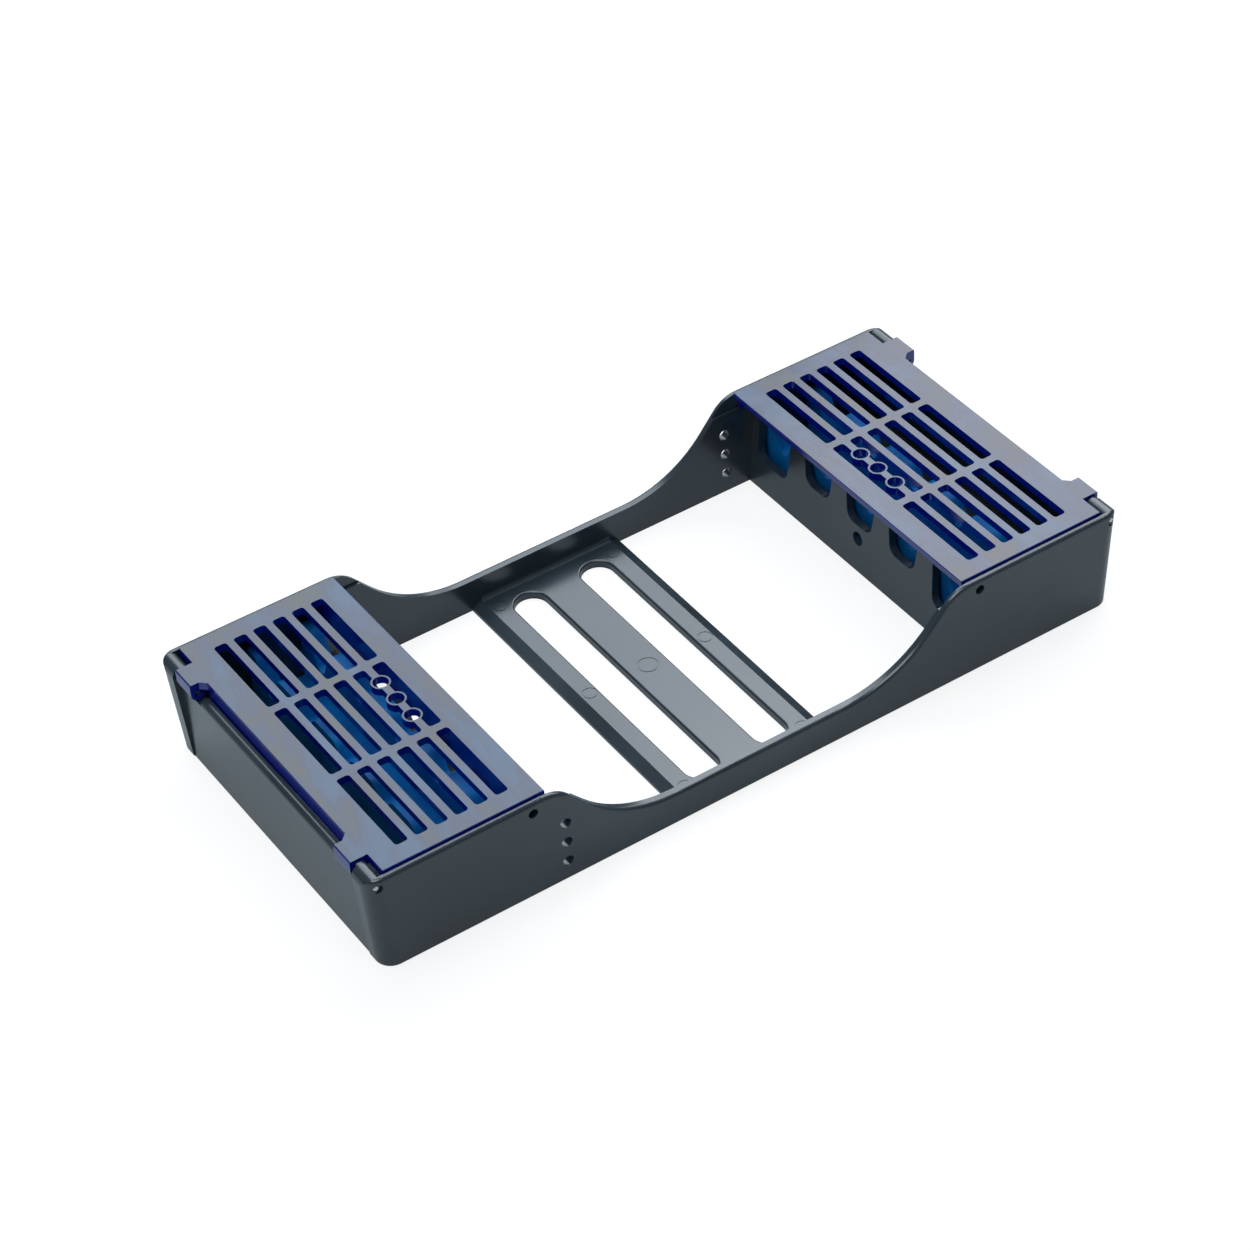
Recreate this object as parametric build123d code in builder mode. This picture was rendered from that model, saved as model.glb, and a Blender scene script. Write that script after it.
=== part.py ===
"""Dental instrument cassette: an open moulded base with a tray at each end, two hinged
grille lids and a soft rack in each tray that keeps five instruments side by side.

Units are millimetres.  +X runs along the length, +Y across the width and +Z up; the origin
is the centre of the flat underside.  The whole object is unchanged by half a turn about Z,
so everything at the left end (-X) is the right end turned by 180 degrees.
"""

import os
from math import radians, sqrt, tan

from build123d import *

os.makedirs("parts", exist_ok=True)

# ---------------------------------------------------------------- driving dimensions
# base moulding
base_length = 202.2      # over the end walls, at the rim
base_width = 92.0        # over the side walls, at the rim
rim_height = 26.9        # side walls, from the underside
end_draft = 4.1          # degrees, the end walls narrow towards the underside
side_draft = 1.1         # degrees, the side walls do the same
corner_radius = 4.0      # upright outer corners
wall = 2.0               # side walls at the rim, and inner walls
end_wall = 2.2           # end walls between the ears, at the top
inner_draft = 1.9        # degrees, the side walls grow thicker towards the floor
floor_thickness = 2.0    # tray floors and centre plate
rim_rounding = 0.9       # outer edge of the rim
foot_rounding = 0.5      # outer edge of the underside
tray_corner = 2.0        # upright corners inside the trays
corner_post = 7.0        # either side of the end panel
panel_setback = 1.55     # end panel between the corner posts, at its top edge
panel_draft = 1.1        # degrees

# saddle: the side walls sweep down between the two trays
saddle_height = 8.65     # rim height in the middle
saddle_slope = 48.0      # degrees, steepest part of the sweep
saddle_lead = 5.6        # where the slope would meet the rim, before the inner wall
shoulder_radius = 9.0
saddle_radius = 31.5

# inner walls, each with five instrument lanes
tray_length = 42.2       # end of the base to the inner wall's face, at the underside
inner_wall_lean = 5.1    # degrees, the wall leans outwards
lane_pitch = 16.5
lane_width = 11.0        # lanes 2, 3 and 4, at the top of the wall
lane_floor = 12.7        # their lowest point
lane_taper = 1.0         # each side comes in by this much on its way down
outer_lane_inner = 27.6  # lanes 1 and 5, from the centre line
outer_lane_outer = 40.4
outer_lane_floor = 8.3
lane_rounding = 2.8

# centre plate with two long slots; the windows lie either side of it
plate_length = 41.6      # along X
plate_offset = -0.8      # middle of the plate, along X
plate_border = 2.6       # sloping border of the plate
plate_border_drop = 1.2
plate_slot_offset = 9.4  # either side of the plate's middle
plate_slot_width = 8.4
plate_slot_end = 4.3     # end of a slot to the side wall
plate_edge_rounding = 0.6
plate_foot_rounding = 1.2    # where the plate meets the side walls
mark_offset_x = 16.05    # shallow round marks on the plate
mark_shift = 0.15        # middle of the marks to the middle of the plate
mark_margin = 4.6        # outer marks, from the side wall
mark_diameter = 3.8
centre_mark_diameter = 5.2
mark_line = 0.3          # width of the groove round a mark
mark_depth = 0.1

# lids
lid_thickness = 2.0
lid_rise = 0.6           # top of the lid above the rim
lid_end = 1.8            # hinge axis to the lid's outer edge, between the tabs
lid_overhang = 3.0       # the lid's free edge, before the inner wall
lid_side_gap = 0.3       # lid to side wall
lid_skirt = 1.2          # thickness of the side skirts under the lid
lid_skirt_depth = 2.6    # below the lid plate
lid_skirt_inset = 1.2    # the skirts stop short of the lid's two ends
lid_rib = 1.6            # thickness of the rib that closes the lanes from above
lid_rib_depth = 5.2      # below the lid plate
lid_rib_setback = 0.15   # rib to the innermost row of slots
lid_apron = 1.2          # skirt under the lid's outer edge, between the tabs
lid_apron_drop = 0.4     # it reaches this far below the top of the end wall
lid_lip = 0.35           # the lower half of the free edge is set back
lid_edge_rounding = 0.2
seat_gap = 0.3           # lid to the walls below it
swing_gap = 0.25         # round everything that turns
channel_depth = 0.55     # the side walls are thinner by this where the lid drops in
channel_lead = 9.4       # the channel starts this far before the inner wall

# grille: three rows of slots, lengthwise across the instruments
grille_pitch = 5.0
grille_slot = 3.2
grille_margin = 7.45     # the lid's free edge to the middle of the innermost slot
grille_count = 6
grille_row = 24.9        # length of a slot
grille_bar = 2.1         # between the rows
grille_rounding = 0.8
ring_pitch = 6.7
ring_outer = 4.6
ring_bore = 3.7
ring_count = 3

# hinge
pin_diameter = 1.5
pin_play = 0.06          # radial, in the lid's knuckle
pin_grip = 0.02          # radial, in the base
pin_sink = 0.7           # pin end below the side wall's face
pin_chamfer = 0.2        # both ends
pin_mouth = 2.6          # diameter of the sunk mouth round the pin's end
pin_recess = 0.4         # pin end inside the knuckle's bore
ear_radius = 2.35        # rounded top of the base's ears, about the hinge axis
ear_length = 7.7         # from the side wall's outer face
tab_length = 6.7
tab_side_gap = 0.3
tab_radius = 1.9         # knuckle under the tab, about the hinge axis
tab_nose_rounding = 0.4  # top outer edge of the tab
pocket_gap = 0.6         # knuckle to its pocket, so that the tab's nose can turn past
tab_chamfer = 1.4
end_wall_step = 3.35     # end wall below the rim, between the ears
end_wall_rounding = 1.4  # its outer edge

# catches
catch_margin = 4.1       # from the lid's free edge
catch_drop = 2.7         # below the rim
catch_hole = 2.4
catch_nub = 1.6          # diameter of the nub on the lid's skirt
catch_reach = 0.25       # height of the nub

# through holes, one group on each long side
side_hole = 2.8
side_hole_lead = 6.6     # before the inner wall
side_hole_first = 5.4
side_hole_pitch = 5.65
side_hole_count = 3

# soft rack
rack_floor = 2.5         # strip that joins the two rails
rack_gap = 0.3
rack_height = 20.0       # top of the rails, from the underside of the base
rail_thickness = 4.0
rail_spacing = 13.5      # front rail to rear rail
rack_cover = 1.6         # the notches lie this much above the lane floors
notch_width = 7.0
outer_notch_width = 9.6
notch_rounding = 1.6
stud_diameter = 3.2
stud_play = 0.2          # radial, in the inner wall
stud_height = 9.1
stud_sink = 1.6          # stud end below the face of the inner wall
rack_crest_rounding = 3.0    # shoulders of the notches

# ---------------------------------------------------------------- derived sizes
lean = tan(radians(inner_wall_lean))
side_slope = tan(radians(side_draft))
end_slope = tan(radians(end_draft))


def half_length(z):
    """Outer half length of the base at height z."""
    return base_length / 2 - (rim_height - z) * end_slope


def half_width(z):
    """Outer half width of the base at height z."""
    return base_width / 2 - (rim_height - z) * side_slope


def inner_half_width(z):
    """Inner half width between the side walls at height z."""
    return base_width / 2 - wall - (rim_height - z) * tan(radians(inner_draft))


def inner_face(z):
    """Face of an inner wall at height z, from the centre."""
    return inner_wall_foot + z * lean


# the tray, its lid and all that belongs to them keep together at the end of the base
inner_wall_foot = base_length / 2 - tray_length
saddle_shoulder = inner_wall_foot - saddle_lead
channel_start = inner_wall_foot - channel_lead
side_hole_offset = inner_wall_foot - side_hole_lead
lid_inner_edge = inner_wall_foot - lid_overhang
grille_first = lid_inner_edge + grille_margin
catch_offset = lid_inner_edge + catch_margin

lid_top = rim_height + lid_rise
lid_under = lid_top - lid_thickness
axis_height = rim_height - ear_radius
axis_x = half_length(axis_height) - ear_radius
end_wall_top = rim_height - end_wall_step
lid_outer_edge = axis_x - lid_end
corner_swing = ear_radius + swing_gap
lid_corner_edge = axis_x - sqrt(corner_swing**2 - (lid_under - axis_height) ** 2)
rib_outer = grille_first - grille_slot / 2 - lid_rib_setback
rib_bottom = lid_under - lid_rib_depth
rib_half_width = inner_half_width(rib_bottom) - lid_side_gap
inner_wall_top = rib_bottom - seat_gap
channel_half_width = half_width(rim_height) - wall + channel_depth
lid_half_width = channel_half_width - lid_side_gap
skirt_inner = lid_half_width - lid_skirt
skirt_bottom = lid_under - lid_skirt_depth
channel_floor = skirt_bottom - seat_gap
ear_inner = base_width / 2 - ear_length
tab_outer = ear_inner - tab_side_gap
tab_inner = tab_outer - tab_length
pocket_inner = tab_inner - tab_chamfer - tab_side_gap
pocket_radius = tab_radius + pocket_gap
catch_height = rim_height - catch_drop
above = rim_height + 10.0                            # clear of everything
outside = base_width / 2 + 10.0
saddle_foot = saddle_shoulder - (rim_height - saddle_height) / tan(radians(saddle_slope))
middle_lanes = (-lane_pitch, 0, lane_pitch)
outer_lane_centre = (outer_lane_inner + outer_lane_outer) / 2
tray_half_width = inner_half_width(floor_thickness)
end_wall_inner = half_length(end_wall_top) - panel_setback - end_wall
rack_front = inner_face(rack_height) + wall + rack_gap
rack_back = rack_front + rail_spacing + rail_thickness
rack_bottom = floor_thickness + rack_gap
rack_half_width = tray_half_width - rack_gap
pin_start = half_width(axis_height) - pin_sink
pin_end = tab_inner + pin_recess
panel_half_width = base_width / 2 - corner_post
plate_slot_length = 2 * (tray_half_width - plate_slot_end)
mark_offset_y = tray_half_width - mark_margin


def panel_face(z):
    """Face of the set-back end panel at height z, from the centre."""
    top = half_length(end_wall_top) - panel_setback
    return top - (end_wall_top - z) * tan(radians(panel_draft))


# ---------------------------------------------------------------- base moulding
with BuildPart() as base_frame:
    # outer block, drafted on all four sides
    with BuildSketch(Plane.XY):
        RectangleRounded(2 * half_length(0), 2 * half_width(0), corner_radius)
    with BuildSketch(Plane.XY.offset(rim_height)):
        RectangleRounded(base_length, base_width, corner_radius)
    loft(ruled=True)

    # saddle between the trays, right across
    with BuildSketch(Plane.XZ):
        with BuildLine():
            FilletPolyline(
                (-saddle_shoulder - shoulder_radius, rim_height),
                (-saddle_shoulder, rim_height),
                (-saddle_foot, saddle_height),
                (saddle_foot, saddle_height),
                (saddle_shoulder, rim_height),
                (saddle_shoulder + shoulder_radius, rim_height),
                radius=(shoulder_radius, saddle_radius, saddle_radius, shoulder_radius),
            )
            Polyline(
                (saddle_shoulder + shoulder_radius, rim_height),
                (saddle_shoulder + shoulder_radius, above),
                (-saddle_shoulder - shoulder_radius, above),
                (-saddle_shoulder - shoulder_radius, rim_height),
            )
        make_face()
    extrude(amount=outside, both=True, mode=Mode.SUBTRACT)

    # rounded outer edge, all the way round the underside and the rim
    fillet(base_frame.faces().sort_by(Axis.Z)[0].edges(), foot_rounding)
    rim_edges = [
        edge
        for edge in base_frame.edges()
        if edge.bounding_box().min.Z > saddle_height - 0.1
        and (abs(edge.center().Y) > base_width / 2 - wall or abs(edge.center().X) > base_length / 2 - wall)
    ]
    fillet(rim_edges, rim_rounding)

    # end panels, set back between the corner posts
    for side in (-1, 1):
        with BuildSketch(Plane.XZ):
            Polygon(
                (side * panel_face(-1), -1),
                (side * (base_length / 2 + 1), -1),
                (side * (base_length / 2 + 1), above),
                (side * panel_face(above), above),
                align=None,
            )
        extrude(amount=panel_half_width, both=True, mode=Mode.SUBTRACT)

    # hollow inside, down to the tray floors
    with BuildSketch(Plane.XY.offset(floor_thickness)):
        RectangleRounded(2 * end_wall_inner, 2 * tray_half_width, tray_corner)
    with BuildSketch(Plane.XY.offset(above)):
        RectangleRounded(2 * end_wall_inner, 2 * inner_half_width(above), tray_corner)
    loft(ruled=True, mode=Mode.SUBTRACT)

    # windows through the floor, either side of the centre plate
    for side in (-1, 1):
        with BuildSketch(Plane.XZ):
            Polygon(
                (plate_offset + side * plate_length / 2, -1),
                (side * inner_face(-1), -1),
                (side * inner_face(floor_thickness + 1), floor_thickness + 1),
                (plate_offset + side * plate_length / 2, floor_thickness + 1),
                align=None,
            )
        extrude(amount=tray_half_width, both=True, mode=Mode.SUBTRACT)

    # sloping borders of the centre plate
    border = plate_length / 2 - plate_border
    for side in (-1, 1):
        with BuildSketch(Plane.XZ):
            Polygon(
                (plate_offset + side * border, floor_thickness),
                (plate_offset + side * border, floor_thickness + 1),
                (plate_offset + side * (plate_length / 2 + 1), floor_thickness + 1),
                (plate_offset + side * plate_length / 2, floor_thickness - plate_border_drop),
                align=None,
            )
        extrude(amount=tray_half_width, both=True, mode=Mode.SUBTRACT)

    # hollow moulding radius along the foot of the side walls, beside the plate
    for flank in (-1, 1):
        with BuildSketch(Plane.YZ.offset(plate_offset - border)):
            with Locations((flank * tray_half_width, floor_thickness)):
                Rectangle(
                    2 * plate_foot_rounding, 2 * plate_foot_rounding,
                )
            with Locations(
                (
                    flank * (tray_half_width - plate_foot_rounding),
                    floor_thickness + plate_foot_rounding,
                )
            ):
                Circle(plate_foot_rounding, mode=Mode.SUBTRACT)
                Rectangle(
                    4 * plate_foot_rounding, 2 * plate_foot_rounding,
                    align=(Align.CENTER, Align.MIN), mode=Mode.SUBTRACT,
                )
        extrude(amount=2 * border)

    # two long slots in the plate, and its shallow round marks
    with BuildSketch(Plane.XY.offset(floor_thickness)):
        with Locations((plate_offset, 0)), GridLocations(2 * plate_slot_offset, 1, 2, 1):
            SlotOverall(plate_slot_length, plate_slot_width, rotation=90)
    extrude(amount=-2 * floor_thickness, mode=Mode.SUBTRACT)
    slot_edges = [
        edge
        for edge in base_frame.edges()
        if abs(edge.center().Z - floor_thickness) < 0.01
        and abs(abs(edge.center().X - plate_offset) - plate_slot_offset) < plate_slot_width / 2 + 0.1
        and abs(edge.center().Y) < plate_slot_length / 2
    ]
    fillet(slot_edges, plate_edge_rounding)
    with BuildSketch(Plane.XY.offset(floor_thickness)):
        with Locations((plate_offset + mark_shift, 0)):
            Circle(centre_mark_diameter / 2)
            Circle(centre_mark_diameter / 2 - mark_line, mode=Mode.SUBTRACT)
            with GridLocations(2 * mark_offset_x, mark_offset_y, 2, 3):
                Circle(mark_diameter / 2)
                Circle(mark_diameter / 2 - mark_line, mode=Mode.SUBTRACT)
    extrude(amount=-mark_depth, mode=Mode.SUBTRACT)

    # inner walls, leaning outwards
    for side in (-1, 1):
        with BuildSketch(Plane.XZ):
            Polygon(
                (side * inner_face(0), 0),
                (side * (inner_face(0) + wall), 0),
                (side * (inner_face(inner_wall_top) + wall), inner_wall_top),
                (side * inner_face(inner_wall_top), inner_wall_top),
                align=None,
            )
        extrude(amount=tray_half_width + wall / 2, both=True)

    # five instrument lanes through each inner wall
    for side in (-1, 1):
        start = side * (inner_face(0) - wall)
        for y in middle_lanes:
            with BuildSketch(Plane.YZ.offset(start)):
                with BuildLine():
                    FilletPolyline(
                        (y - lane_width / 2, inner_wall_top),
                        (y - lane_width / 2 + lane_taper, lane_floor),
                        (y + lane_width / 2 - lane_taper, lane_floor),
                        (y + lane_width / 2, inner_wall_top),
                        radius=lane_rounding,
                    )
                    Polyline(
                        (y + lane_width / 2, inner_wall_top),
                        (y + lane_width / 2, above),
                        (y - lane_width / 2, above),
                        (y - lane_width / 2, inner_wall_top),
                    )
                make_face()
            extrude(amount=side * 4 * wall, mode=Mode.SUBTRACT)
        for flank in (-1, 1):
            with BuildSketch(Plane.YZ.offset(start)):
                with BuildLine():
                    FilletPolyline(
                        (flank * outer_lane_inner, inner_wall_top),
                        (flank * (outer_lane_inner + lane_taper), outer_lane_floor),
                        (flank * outer_lane_outer, outer_lane_floor),
                        (flank * outer_lane_outer, inner_wall_top),
                        radius=lane_rounding,
                    )
                    Polyline(
                        (flank * outer_lane_outer, inner_wall_top),
                        (flank * outer_lane_outer, above),
                        (flank * outer_lane_inner, above),
                        (flank * outer_lane_inner, inner_wall_top),
                    )
                make_face()
            extrude(amount=side * 4 * wall, mode=Mode.SUBTRACT)
        # hole for the rack's stud
        with BuildSketch(Plane.YZ.offset(start)):
            with Locations((0, stud_height)):
                Circle(stud_diameter / 2 + stud_play)
        extrude(amount=side * 4 * wall, mode=Mode.SUBTRACT)

    # channels along the side walls for the lids' edges and skirts
    for side in (-1, 1):
        for flank in (-1, 1):
            with BuildSketch(Plane.XY.offset(channel_floor)):
                with Locations(
                    (
                        side * (channel_start + end_wall_inner) / 2,
                        flank * (channel_half_width + skirt_inner - seat_gap) / 2,
                    )
                ):
                    Rectangle(
                        end_wall_inner - channel_start,
                        channel_half_width - skirt_inner + seat_gap,
                    )
            extrude(amount=above, mode=Mode.SUBTRACT)

    for side in (-1, 1):
        # end wall, lower than the rim between the ears
        with BuildSketch(Plane.XY.offset(end_wall_top)):
            with Locations((side * base_length / 2, 0)):
                Rectangle(4 * ear_radius + 2, 2 * ear_inner)
        extrude(amount=above, mode=Mode.SUBTRACT)
        # its rounded outer edge
        round_x = panel_face(end_wall_top) - end_wall_rounding
        round_z = end_wall_top - end_wall_rounding
        with BuildSketch(Plane.XZ):
            Polygon(
                (side * round_x, round_z),
                (side * base_length, round_z),
                (side * base_length, above),
                (side * round_x, above),
                align=None,
            )
            with Locations((side * round_x, round_z)):
                Circle(end_wall_rounding, mode=Mode.SUBTRACT)
        extrude(amount=ear_inner, both=True, mode=Mode.SUBTRACT)

        # ears with a rounded top; the outer quarter runs on round the corner
        for inward, reach in ((False, outside), (True, channel_half_width)):
            start = -1 if inward else 0
            with BuildSketch(Plane.XZ):
                with Locations((side * (axis_x + (start + 0.5) * 2 * ear_radius), axis_height)):
                    Rectangle(2 * ear_radius, 2 * ear_radius + 2, align=(Align.CENTER, Align.MIN))
                with Locations((side * axis_x, axis_height)):
                    Circle(ear_radius, mode=Mode.SUBTRACT)
            extrude(amount=reach, both=True, mode=Mode.SUBTRACT)

        # pockets for the lid's knuckles, open at the top and through the end panel
        for flank in (-1, 1):
            middle = flank * (pocket_inner + ear_inner) / 2
            with BuildSketch(Plane.XZ.offset(-middle)):
                with Locations((side * axis_x, axis_height)):
                    Circle(pocket_radius)
                    Rectangle(4 * pocket_radius, above, align=(Align.CENTER, Align.MIN))
            extrude(amount=(ear_inner - pocket_inner) / 2, both=True, mode=Mode.SUBTRACT)

            # bore for the hinge pin, with a sunk mouth at the side wall
            with BuildSketch(Plane.XZ.offset(-flank * pin_end)):
                with Locations((side * axis_x, axis_height)):
                    Circle(pin_diameter / 2 + pin_grip)
            extrude(amount=-flank * outside, mode=Mode.SUBTRACT)
            with BuildSketch(Plane.XZ.offset(-flank * (pin_start + pin_grip))):
                with Locations((side * axis_x, axis_height)):
                    Circle(pin_mouth / 2)
            extrude(amount=-flank * outside, mode=Mode.SUBTRACT)

            # hole for the lid's catch
            with BuildSketch(Plane.XZ.offset(-flank * tray_half_width * 0.9)):
                with Locations((side * catch_offset, catch_height)):
                    Circle(catch_hole / 2)
            extrude(amount=-flank * outside, mode=Mode.SUBTRACT)

        # column of round holes, in the near wall at the left and the far wall at the right
        with BuildSketch(Plane.XZ.offset(-side * tray_half_width * 0.9)):
            with Locations(
                *[
                    (side * side_hole_offset, side_hole_first + k * side_hole_pitch)
                    for k in range(side_hole_count)
                ]
            ):
                Circle(side_hole / 2)
        extrude(amount=-side * outside, mode=Mode.SUBTRACT)

base_frame.part.label = "base_frame"
export_step(base_frame.part, "parts/base_frame.step")

# ---------------------------------------------------------------- right lid
with BuildPart() as lid_right:
    # plate
    with BuildSketch(Plane.XY.offset(lid_under)):
        Polygon(
            (lid_inner_edge, -lid_half_width),
            (lid_corner_edge, -lid_half_width),
            (lid_corner_edge, -tab_outer),
            (lid_outer_edge, -tab_outer),
            (lid_outer_edge, tab_outer),
            (lid_corner_edge, tab_outer),
            (lid_corner_edge, lid_half_width),
            (lid_inner_edge, lid_half_width),
            align=None,
        )
    extrude(amount=lid_thickness)
    # rounded top edges, all the way round
    rounded = lid_right.faces().sort_by(Axis.Z)[-1].edges()
    fillet(rounded, lid_edge_rounding)

    # set-back lower half of the free edge
    with BuildSketch(Plane.XY.offset(lid_under)):
        with Locations((lid_inner_edge, 0)):
            Rectangle(2 * lid_lip, 2 * lid_half_width)
    extrude(amount=lid_thickness / 2, mode=Mode.SUBTRACT)

    # rib along the free edge, over the inner wall
    with BuildSketch(Plane.XY.offset(rib_bottom)):
        with Locations((rib_outer - lid_rib / 2, 0)):
            Rectangle(lid_rib, 2 * rib_half_width)
    extrude(amount=lid_rib_depth + lid_thickness / 2)

    # apron under the outer edge, between the tabs
    apron_bottom = end_wall_top - lid_apron_drop
    with BuildSketch(Plane.XY.offset(apron_bottom)):
        with Locations((lid_outer_edge - lid_apron / 2, 0)):
            Rectangle(lid_apron, 2 * (pocket_inner - tab_side_gap))
    extrude(amount=lid_under - apron_bottom + lid_thickness / 2)

    # side skirts
    for flank in (-1, 1):
        with BuildSketch(Plane.XY.offset(skirt_bottom)):
            with Locations(
                (
                    (lid_inner_edge + lid_corner_edge) / 2,
                    flank * (lid_half_width + skirt_inner) / 2,
                )
            ):
                Rectangle(
                    lid_corner_edge - lid_inner_edge - 2 * lid_skirt_inset,
                    lid_half_width - skirt_inner,
                )
        extrude(amount=lid_skirt_depth + lid_thickness / 2)
        # nub of the catch
        with BuildSketch(Plane.XZ.offset(-flank * (lid_half_width - lid_skirt / 2))):
            with Locations((catch_offset, catch_height)):
                Circle(catch_nub / 2)
        extrude(amount=-flank * (lid_skirt / 2 + catch_reach))

    # tabs with knuckles, reaching over the end wall
    for flank in (-1, 1):
        middle = flank * (tab_inner + tab_outer) / 2
        with BuildSketch(Plane.XZ.offset(-middle)):
            with Locations((axis_x, axis_height)):
                Circle(tab_radius)
            with BuildLine():
                FilletPolyline(
                    (lid_outer_edge - lid_thickness, lid_top),
                    (axis_x + tab_radius, lid_top),
                    (axis_x + tab_radius, axis_height),
                    radius=tab_nose_rounding,
                )
                Polyline(
                    (axis_x + tab_radius, axis_height),
                    (axis_x - tab_radius, axis_height),
                    (lid_outer_edge - lid_thickness, lid_under),
                    (lid_outer_edge - lid_thickness, lid_top),
                )
            make_face()
        extrude(amount=(tab_outer - tab_inner) / 2, both=True)
        # corner web between tab and plate
        with BuildSketch(Plane.XY.offset(lid_under)):
            Polygon(
                (lid_outer_edge - lid_edge_rounding, flank * tab_inner),
                (lid_outer_edge - lid_edge_rounding, flank * (tab_inner - tab_chamfer)),
                (lid_outer_edge, flank * (tab_inner - tab_chamfer)),
                (lid_outer_edge + tab_chamfer, flank * tab_inner),
                align=None,
            )
        extrude(amount=lid_thickness)

    # bore for the hinge pins, through both knuckles
    with BuildSketch(Plane.XZ):
        with Locations((axis_x, axis_height)):
            Circle(pin_diameter / 2 + pin_play)
    extrude(amount=outside, both=True, mode=Mode.SUBTRACT)

    # grille
    grille_last = grille_first + (grille_count - 1) * grille_pitch
    with BuildSketch(Plane.XY.offset(lid_under - 1)):
        with Locations(((grille_first + grille_last) / 2, 0)):
            with GridLocations(
                grille_pitch, grille_row + grille_bar, grille_count, 3
            ):
                RectangleRounded(grille_slot, grille_row, grille_rounding)
    extrude(amount=lid_thickness + 2, mode=Mode.SUBTRACT)

    # three rings on the bar between the two innermost slots of the middle row
    ring_x = grille_first + grille_pitch / 2
    with BuildSketch(Plane.XY.offset(lid_under)):
        with Locations((ring_x, 0)):
            with GridLocations(1, ring_pitch, 1, ring_count):
                Circle(ring_outer / 2)
    extrude(amount=lid_thickness)
    with BuildSketch(Plane.XY.offset(lid_under - 1)):
        with Locations((ring_x, 0)):
            with GridLocations(1, ring_pitch, 1, ring_count):
                Circle(ring_bore / 2)
    extrude(amount=lid_thickness + 2, mode=Mode.SUBTRACT)

lid_right.part.label = "lid_right"
export_step(lid_right.part, "parts/lid_right.step")

# ---------------------------------------------------------------- right rack, soft
with BuildPart() as rack_right:
    with BuildSketch(Plane.XY.offset(rack_bottom)):
        with Locations(((rack_front + rack_back) / 2, 0)):
            Rectangle(rack_back - rack_front, 2 * rack_half_width)
    extrude(amount=rack_floor)
    for x in (rack_front, rack_front + rail_spacing):
        with BuildSketch(Plane.YZ.offset(x)):
            with BuildLine():
                Polyline(
                    (-rack_half_width, rack_bottom), (rack_half_width, rack_bottom),
                    (rack_half_width, rack_height), (-rack_half_width, rack_height),
                    close=True,
                )
            make_face()
        extrude(amount=rail_thickness)
    # rounded notches, one in each lane, through both rails
    lanes = [(y, notch_width, lane_floor) for y in middle_lanes]
    lanes += [
        (flank * outer_lane_centre, outer_notch_width, outer_lane_floor) for flank in (-1, 1)
    ]
    for y, width, floor in lanes:
        with BuildSketch(Plane.YZ.offset(rack_front - 1)):
            with BuildLine():
                FilletPolyline(
                    (y - width / 2 - rack_crest_rounding, rack_height),
                    (y - width / 2, rack_height),
                    (y, floor + rack_cover - notch_rounding / 2),
                    (y + width / 2, rack_height),
                    (y + width / 2 + rack_crest_rounding, rack_height),
                    radius=(rack_crest_rounding, notch_rounding, rack_crest_rounding),
                )
                Polyline(
                    (y + width / 2 + rack_crest_rounding, rack_height),
                    (y + width / 2 + rack_crest_rounding, above),
                    (y - width / 2 - rack_crest_rounding, above),
                    (y - width / 2 - rack_crest_rounding, rack_height),
                )
            make_face()
        extrude(amount=rack_back - rack_front + 2, mode=Mode.SUBTRACT)
    # stud that buttons the rack into the inner wall
    stud_start = inner_face(stud_height) + stud_sink
    with BuildSketch(Plane.YZ.offset(stud_start)):
        with Locations((0, stud_height)):
            Circle(stud_diameter / 2)
    extrude(amount=rack_front + rail_thickness / 2 - stud_start)

rack_right.part.label = "rack_right"
export_step(rack_right.part, "parts/rack_right.step")

# ---------------------------------------------------------------- hinge pins, right end
pins = {}
for name, flank in (("near", -1), ("far", 1)):
    with BuildPart() as pin:
        with BuildSketch(Plane.XZ.offset(-flank * pin_end)):
            with Locations((axis_x, axis_height)):
                Circle(pin_diameter / 2)
        extrude(amount=-flank * (pin_start - pin_end))
        chamfer(pin.edges().filter_by(GeomType.CIRCLE), pin_chamfer)
    pin.part.label = f"pin_right_{name}"
    export_step(pin.part, f"parts/pin_right_{name}.step")
    pins[name] = pin.part

# ---------------------------------------------------------------- left end, half a turn round
turned = (
    ("lid_left", lid_right.part),
    ("rack_left", rack_right.part),
    ("pin_left_far", pins["near"]),
    ("pin_left_near", pins["far"]),
)
for name, solid in turned:
    with BuildPart() as left_piece:
        add(solid.rotate(Axis.Z, 180))
    left_piece.part.label = name
    export_step(left_piece.part, f"parts/{name}.step")

print(f"size {base_length} x {base_width} x {lid_top} mm")
print(f"hinge axis x {axis_x:.3f} z {axis_height:.3f}")
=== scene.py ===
# %% [markdown]
# # Dental instrument cassette
#
# The cassette is an open grey moulding with a tray at each end, a blue grille lid on each
# tray, a soft blue rack inside and four short steel hinge pins. Its solids come packed in one
# frame, in metres, with +X along the length and +Z up. This script gives them their finishes
# and sets the camera, the floor and the light. It adds no pieces of its own, because the real
# one is all moulded plastic, silicone and wire, and the solids already have its edges.

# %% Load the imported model
import math

import bpy
import numpy as np
from mathutils import Matrix, Vector

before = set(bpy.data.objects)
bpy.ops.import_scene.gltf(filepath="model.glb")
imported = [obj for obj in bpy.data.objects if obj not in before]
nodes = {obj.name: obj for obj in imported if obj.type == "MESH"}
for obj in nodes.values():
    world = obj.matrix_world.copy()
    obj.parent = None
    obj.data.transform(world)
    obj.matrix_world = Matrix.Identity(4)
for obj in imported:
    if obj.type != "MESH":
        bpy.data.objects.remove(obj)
scene = bpy.context.scene
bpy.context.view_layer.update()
print("nodes:", sorted(nodes))

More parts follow.
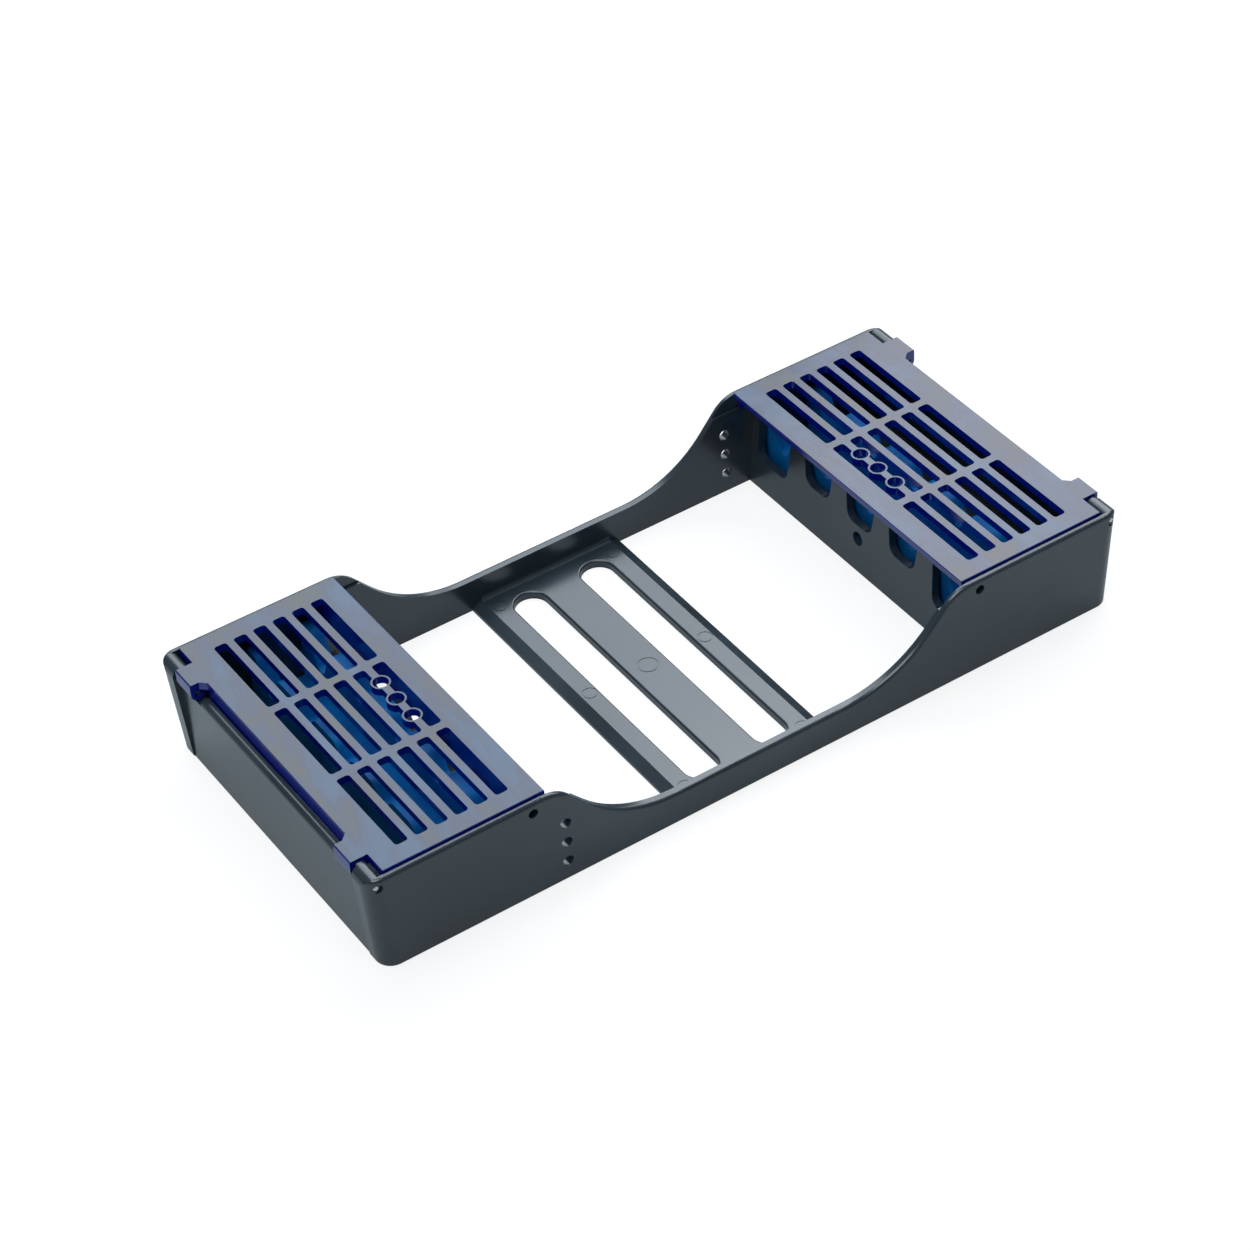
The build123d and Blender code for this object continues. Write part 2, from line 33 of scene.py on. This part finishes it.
# %% [markdown]
# ## The camera
#
# An object of this size is usually shown through a long lens from well away, so that its sides
# stay nearly parallel. This camera stands at the front left, 41 degrees above the table, and is
# turned a little about its own axis. Its place could be typed in as a matrix, but three angles
# and a distance are the numbers that one would set on a tripod, so it's worked out from those.

# %% Directions of the camera
AZIMUTH, ELEVATION, ROLL = map(math.radians, (-31.27, 40.84, -4.14))


def towards(azimuth, elevation):
    """Unit vector from the origin to a point at these angles; azimuth 0 is the front, -Y."""
    flat = math.cos(elevation)
    return Vector((math.sin(azimuth) * flat, -math.cos(azimuth) * flat, math.sin(elevation)))


away = towards(AZIMUTH, ELEVATION)
level = Vector((math.cos(AZIMUTH), math.sin(AZIMUTH), 0.0))
upright = away.cross(level)
right = level * math.cos(ROLL) + upright * math.sin(ROLL)
up = upright * math.cos(ROLL) - level * math.sin(ROLL)
print("camera looks along", [round(v, 4) for v in -away])

# %% Set the camera
FOCAL_PIXELS, FRAME_PIXELS = 3648.0, 1250.0
SENSOR_MM = 36.0
NEAREST, FARTHEST = 0.01, 20.0  # metres
AIM = (0.005935, -0.010438, 0.84313)  # right, up and away, from the lens to the origin

lens = bpy.data.cameras.new("camera")
lens.sensor_width = SENSOR_MM
lens.lens = SENSOR_MM * FOCAL_PIXELS / FRAME_PIXELS
lens.clip_start, lens.clip_end = NEAREST, FARTHEST
camera = bpy.data.objects.new("camera", lens)
scene.collection.objects.link(camera)
place = away * AIM[2] - right * AIM[0] - up * AIM[1]
turn = Matrix((right, up, away)).transposed()
camera.matrix_world = Matrix.Translation(place) @ turn.to_4x4()
scene.camera = camera
print("camera at", [round(v, 4) for v in place], "lens", round(lens.lens, 1), "mm")

# %% [markdown]
# ## Helpers for finishes
#
# Colours are written as sRGB hex, the way a designer notes them, and Blender's shaders want
# linear light, so one function turns one into the other. A second function adds a node, sets
# its values and makes its links, and every finish below is made with it. Sizes are given in
# millimetres, because that's how one thinks of grain and ripples, and a noise texture wants
# its scale in features per metre.

# %% Colours and sizes
MM = 0.001


def tint(code, alpha=1.0):
    """sRGB hex to linear RGBA, by the sRGB curve."""
    channels = np.array([int(code[k:k + 2], 16) / 255 for k in (1, 3, 5)])
    curve = ((channels + 0.055) / 1.055) ** 2.4
    linear = np.where(channels <= 0.04045, channels / 12.92, curve)
    return (*linear.tolist(), alpha)


def per_metre(size_mm):
    """Noise scale for features of this size."""
    return 1.0 / (size_mm * MM)


print("mid grey #808080 is", round(tint("#808080")[0], 3), "in linear light")


# %% Nodes
def add_node(tree, kind, settings=None, **sockets):
    """Adds a node. settings are its properties. Each socket gets a value, or a link if it's an
    output. A socket is named with _ for a space, or is i and its number, such as i6."""
    made = tree.nodes.new("ShaderNode" + kind)
    for name, value in (settings or {}).items():
        setattr(made, name, value)
    for name, value in sockets.items():
        numbered = name[0] == "i" and name[1:].isdigit()
        socket = made.inputs[int(name[1:]) if numbered else name.replace("_", " ")]
        if isinstance(value, bpy.types.NodeSocket):
            tree.links.new(value, socket)
        else:
            socket.default_value = value
    return made


def new_finish(name):
    """An empty material with its output and shader: (material, node tree, shader)."""
    material = bpy.data.materials.new(name)
    material.use_nodes = True
    tree = material.node_tree
    tree.nodes.clear()
    shader = add_node(tree, "BsdfPrincipled")
    add_node(tree, "OutputMaterial", Surface=shader.outputs["BSDF"])
    return material, tree, shader


print("a finish starts as one Principled shader")

# %% Tones, surface and where a finish goes
CLOUD_SPAN = (0.3, 0.7)  # noise seldom leaves this band


def set_tones(ramp, tones):
    """Sets a colour ramp's stops, given as (position, colour) from low to high."""
    for position, _ in tones[1:-1]:
        ramp.elements.new(position)
    for element, (position, code) in zip(ramp.elements, tones):
        element.position, element.color = position, tint(code)


def set_surface(tree, shader, gloss_by, gloss, relief_by, strength, height_mm, span=CLOUD_SPAN):
    """While gloss_by goes over span, roughness goes over gloss. relief_by is read as a height
    of up to height_mm, and strength is how much of it the light sees."""
    rough = add_node(
        tree, "MapRange", Value=gloss_by, From_Min=span[0], From_Max=span[1],
        To_Min=gloss[0], To_Max=gloss[1])
    relief = add_node(
        tree, "Bump", Height=relief_by, Strength=strength, Distance=height_mm * MM)
    tree.links.new(rough.outputs[0], shader.inputs["Roughness"])
    tree.links.new(relief.outputs[0], shader.inputs["Normal"])


def wear(material, *names):
    """Gives these CAD nodes one finish."""
    for name in names:
        slots = nodes[name].data.materials
        slots.clear()
        slots.append(material)
    print(material.name, "on", *names)


print("gloss follows a noise from", *CLOUD_SPAN)

# %% [markdown]
# ## The base: moulded PPSU, dark grey
#
# Cassettes like this one are moulded from PPSU (polyphenylsulfone), which stands hundreds of
# steam cycles. Its refractive index is 1.67, well above that of glass, so even a dark moulding
# mirrors the studio strongly at a low angle. The mould is polished to a satin: the gloss is
# broad, with a very fine grain in it, and the resin's flow leaves slow, faint clouds of tone.
#
# A plain grey would look like a computer's idea of plastic, and a bitmap would have to be
# unwrapped over every rib. Noise on object coordinates needs neither. One noise gives the
# clouds, which also vary the gloss, and one gives the grain. The real grain is about 0.1 mm,
# too fine to show here, so it's drawn at 0.45 mm.

# %% Base finish
PPSU_IOR = 1.67
BASE_TONES = ((0.35, "#263037"), (0.65, "#303c44"))
BASE_GLOSS = (0.2, 0.27)
BASE_CLOUD_MM, BASE_GRAIN_MM, BASE_RELIEF_MM = 26, 0.45, 0.02

base_finish, tree, shader = new_finish("moulded_ppsu_grey")
place_on = add_node(tree, "TexCoord").outputs["Object"]
clouds = add_node(
    tree, "TexNoise", Vector=place_on, Scale=per_metre(BASE_CLOUD_MM), Detail=3.0,
    Roughness=0.5).outputs[0]
grain = add_node(
    tree, "TexNoise", Vector=place_on, Scale=per_metre(BASE_GRAIN_MM), Detail=2.0).outputs[0]
tone = add_node(tree, "ValToRGB", Fac=clouds)
set_tones(tone.color_ramp, BASE_TONES)
tree.links.new(tone.outputs[0], shader.inputs["Base Color"])
set_surface(tree, shader, clouds, BASE_GLOSS, grain, 0.25, BASE_RELIEF_MM)
shader.inputs["IOR"].default_value = PPSU_IOR
wear(base_finish, "base_frame")

# %% [markdown]
# ## The lids: moulded PPSU, polished deep blue
#
# The same resin with a blue dye, from a polished mould. Three things make its look. The tops
# mirror the softboxes behind them, so from the front they read as pale lavender, although the
# plastic is deep blue. The dye isn't mixed evenly: it lies in streaks of teal, navy and brown,
# about 11 mm wide and drawn out along the width, which is the way the resin flowed. And the
# thin walls of the slots, which get light from both sides, glow a purer blue than the tops do.
#
# See-through plastic could give the walls their glow by itself, but it needs far more samples,
# and the tops read as solid. So the glow is painted: the walls get a painted, purer blue of
# their own. They are found from the object-space normal, whose Z is 1 on a top and 0 on a wall.
# That normal turns with the lid, so the colours stay in place when the lid is opened.

# %% Lid dye and painted wall glow
LID_TONES = ((0.38, "#143c60"), (0.5, "#14264a"), (0.64, "#302c2c"))
# Painted glow: the slot walls' purer blue stands in for the light that comes through the thin
# walls. It is not a dye.
PAINTED_GLOW_BLUE = tint("#001a90")
LID_CLOUD_MM = 11
DRAWN_OUT = (1.0, 0.4, 1.0)  # streaks are 2.5 times as long along Y as across
# Upward part of the normal: the painted glow is full on the walls below the first value and gone
# on the tops above the second.
PAINTED_GLOW_FULL_BELOW, PAINTED_GLOW_GONE_ABOVE = 0.5, 0.95  # upward part of the normal

lid_finish_with_painted_glow, tree, shader = new_finish("moulded_ppsu_blue")
spot = add_node(tree, "TexCoord")
place_on = spot.outputs["Object"]
streaked = add_node(tree, "VectorMath", {"operation": "MULTIPLY"}, i0=place_on, i1=DRAWN_OUT)
clouds = add_node(
    tree, "TexNoise", Vector=streaked.outputs[0], Scale=per_metre(LID_CLOUD_MM), Detail=5.0,
    Roughness=0.6, Distortion=0.8).outputs[0]
tone = add_node(tree, "ValToRGB", Fac=clouds)
set_tones(tone.color_ramp, LID_TONES)
up_part = add_node(tree, "SeparateXYZ", Vector=spot.outputs["Normal"])
tops_without_painted_glow = add_node(
    tree, "MapRange", Value=up_part.outputs["Z"], From_Min=PAINTED_GLOW_FULL_BELOW, From_Max=PAINTED_GLOW_GONE_ABOVE)
# Mixes the painted wall glow with the dye tones of the tops.
dye_and_painted_glow = add_node(
    tree, "Mix", {"data_type": "RGBA"}, Factor=tops_without_painted_glow.outputs[0], i6=PAINTED_GLOW_BLUE,
    i7=tone.outputs[0])
tree.links.new(dye_and_painted_glow.outputs[2], shader.inputs["Base Color"])
# The walls' one tone is the painted glow, not a dye.
print("lid dye:", len(tone.color_ramp.elements), "tones on the tops, one on the walls")

# %% [markdown]
# ### The lids' surface
#
# Polished plastic is never quite flat, because it shrinks a little unevenly as it cools. A slow
# ripple of 14 mm bends the light that the tops mirror. It's a bump and not a moved surface,
# because it's only a few hundredths of a millimetre deep. The dye's clouds vary the gloss.

# %% Lid surface
LID_GLOSS = (0.12, 0.2)
LID_RIPPLE_MM, LID_RELIEF_MM = 14, 0.12

ripple = add_node(
    tree, "TexNoise", Vector=place_on, Scale=per_metre(LID_RIPPLE_MM), Detail=2.0).outputs[0]
set_surface(tree, shader, clouds, LID_GLOSS, ripple, 0.5, LID_RELIEF_MM)
shader.inputs["IOR"].default_value = PPSU_IOR
wear(lid_finish_with_painted_glow, "lid_left", "lid_right")

# %% [markdown]
# ## The racks: silicone, azure
#
# Soft silicone, moulded in one piece. Light goes a millimetre or two into it and comes out
# again, which keeps its shadows bright and its colour strong, so the shader gets a little
# subsurface light rather than a brighter colour. Its skin is smooth, with a gloss that dust and
# handling make uneven.

# %% Rack finish
SILICONE_IOR = 1.41
RACK_TONES = ((0.3, "#0062ae"), (0.7, "#0480cc"))
RACK_GLOSS = (0.4, 0.55)
RACK_CLOUD_MM, RACK_SKIN_MM, RACK_RELIEF_MM = 9, 0.8, 0.03
RACK_INNER_LIGHT = {
    "Specular IOR Level": 0.3,
    "Subsurface Weight": 0.25,
    "Subsurface Scale": 1.5 * MM,
    "Subsurface Radius": (0.3, 0.8, 1.0),  # blue goes furthest
}

rack_finish, tree, shader = new_finish("moulded_silicone_azure")
place_on = add_node(tree, "TexCoord").outputs["Object"]
clouds = add_node(
    tree, "TexNoise", Vector=place_on, Scale=per_metre(RACK_CLOUD_MM), Detail=3.0).outputs[0]
skin = add_node(
    tree, "TexNoise", Vector=place_on, Scale=per_metre(RACK_SKIN_MM), Detail=2.0).outputs[0]
tone = add_node(tree, "ValToRGB", Fac=clouds)
set_tones(tone.color_ramp, RACK_TONES)
tree.links.new(tone.outputs[0], shader.inputs["Base Color"])
set_surface(tree, shader, clouds, RACK_GLOSS, skin, 0.3, RACK_RELIEF_MM)
shader.inputs["IOR"].default_value = SILICONE_IOR
for name, value in RACK_INNER_LIGHT.items():
    shader.inputs[name].default_value = value
wear(rack_finish, "rack_left", "rack_right")

# %% [markdown]
# ## The hinge pins: ground stainless steel
#
# Drawn wire, ground to size between wheels. The wheels leave very fine rings round the pin,
# which spread a highlight along it. They're a few hundredths of a millimetre apart on a real
# pin. Bands that fine would only blur into each other here, so they're drawn 0.94 mm apart. A
# wave texture repeats every 2 pi / 20 of its scaled coordinate, which sets its scale.

# %% Pin finish
RING_SPACING_MM = 0.9425
WAVE_REPEAT = 2 * math.pi / 20
PIN_GLOSS = (0.18, 0.32)
PIN_RELIEF_MM = 0.005

pin_finish, tree, shader = new_finish("ground_stainless_steel")
place_on = add_node(tree, "TexCoord").outputs["Object"]
rings = add_node(
    tree, "TexWave", {"bands_direction": "Y"}, Vector=place_on,
    Scale=WAVE_REPEAT * per_metre(RING_SPACING_MM), Distortion=1.5).outputs[1]
set_surface(tree, shader, rings, PIN_GLOSS, rings, 0.2, PIN_RELIEF_MM, span=(0.0, 1.0))
shader.inputs["Base Color"].default_value = tint("#c9cacd")
shader.inputs["Metallic"].default_value = 1.0
wear(pin_finish, "pin_left_near", "pin_left_far", "pin_right_near", "pin_right_far")

# %% [markdown]
# ## The floor: white paper
#
# The cassette stands on paper. A brighter lamp would make the paper white, but it would bleach
# the cassette too. So rays from the camera, and rays that left a glossy surface, see the paper
# with some light of its own, and all other rays see it plain. The background is then white and
# still has the cassette's soft shadow.

# %% Floor sheet
FLOOR_HALF = 3.0  # metres, from the middle to an edge

floor_mesh = bpy.data.meshes.new("floor")
floor_corners = [
    (x * FLOOR_HALF, y * FLOOR_HALF, 0) for x, y in ((-1, -1), (1, -1), (1, 1), (-1, 1))]
floor_mesh.from_pydata(floor_corners, [], [(0, 1, 2, 3)])
floor = bpy.data.objects.new("floor", floor_mesh)
scene.collection.objects.link(floor)
print("floor:", 2 * FLOOR_HALF, "m square")

# %% Floor finish
floor_finish = bpy.data.materials.new("white_paper")
floor_finish.use_nodes = True
tree = floor_finish.node_tree
tree.nodes.clear()


def paper(albedo, glow, colour="#ffffff"):
    """Diffuse paper with some light of its own."""
    flat = add_node(tree, "BsdfDiffuse", Color=tint(albedo))
    light = add_node(tree, "Emission", Color=tint(colour), Strength=glow)
    return add_node(tree, "AddShader", i0=flat.outputs[0], i1=light.outputs[0]).outputs[0]


path = add_node(tree, "LightPath")
plain = add_node(tree, "BsdfDiffuse", Color=tint("#acacac")).outputs[0]
mirrored = add_node(
    tree, "MixShader", i0=path.outputs["Is Glossy Ray"], i1=plain,
    i2=paper("#9aa4aa", 0.26, "#eefaff"))
seen = add_node(
    tree, "MixShader", i0=path.outputs["Is Camera Ray"], i1=mirrored.outputs[0],
    i2=paper("#8c8c8c", 0.8))
add_node(tree, "OutputMaterial", Surface=seen.outputs[0])
floor_mesh.materials.append(floor_finish)
print("floor finish:", floor_finish.name)

# %% [markdown]
# ## The room
#
# Above the floor there is only the world. It's dim for the light that falls on the cassette, so
# that the softboxes do the modelling, and pure white where the camera looks straight at it.

# %% World
ROOM_TINT, ROOM_STRENGTH = tint("#f4f8ff"), 0.16

world = bpy.data.worlds.new("studio")
world.use_nodes = True
scene.world = world
tree = world.node_tree
tree.nodes.clear()
path = add_node(tree, "LightPath")
clear = add_node(
    tree, "Math", {"operation": "MAXIMUM"}, i0=path.outputs["Is Camera Ray"],
    i1=path.outputs["Is Transmission Ray"])
dim = add_node(tree, "Background", Color=ROOM_TINT, Strength=ROOM_STRENGTH)
bright = add_node(tree, "Background", Color=(1, 1, 1, 1), Strength=1.0)
pick = add_node(
    tree, "MixShader", i0=clear.outputs[0], i1=dim.outputs[0], i2=bright.outputs[0])
add_node(tree, "OutputWorld", Surface=pick.outputs[0])
print("world:", world.name)

# %% [markdown]
# ## The lamps
#
# Glossy plastic shows its lamps rather than its colour, so each lamp is put where a face will
# mirror it. A flat top that is seen from 41 degrees above mirrors what stands 41 degrees above
# the table on the far side. Two softboxes stand there: the left one shows in the left lid and
# in the middle plate, and the right one in the right lid. The key stands high on the left, and
# lights the trays, the racks and the left end.
#
# A lamp's radiance is what a mirror would show of it. Its power follows from that and its area,
# so a softbox can be made larger without becoming brighter in a reflection.


# %% Lamps
def softbox(name, azimuth, elevation, distance, width, height, radiance, colour="#ffffff"):
    """A rectangular lamp that looks at the origin, at angles in degrees and a distance in metres.
    Its power is pi x area x radiance."""
    back = towards(math.radians(azimuth), math.radians(elevation))
    lamp = bpy.data.lights.new(name, "AREA")
    lamp.shape = "RECTANGLE"
    lamp.size, lamp.size_y = width, height
    lamp.energy = math.pi * width * height * radiance
    lamp.color = tint(colour)[:3]
    holder = bpy.data.objects.new(name, lamp)
    holder.location = back * distance
    holder.rotation_euler = back.to_track_quat("Z", "Y").to_euler()
    scene.collection.objects.link(holder)
    print(name, round(lamp.energy, 1), "W")


softbox("back_softbox_left", 163, 43, 1.6, 0.85, 1.3, 2.9, "#e8f4ff")
softbox("back_softbox_right", 123, 43, 1.6, 0.95, 1.3, 3.5, "#f4f8ff")
softbox("key_softbox", -70, 72, 1.4, 1.0, 1.0, 3.6, "#f0f8ff")
scene.view_settings.view_transform = "Standard"
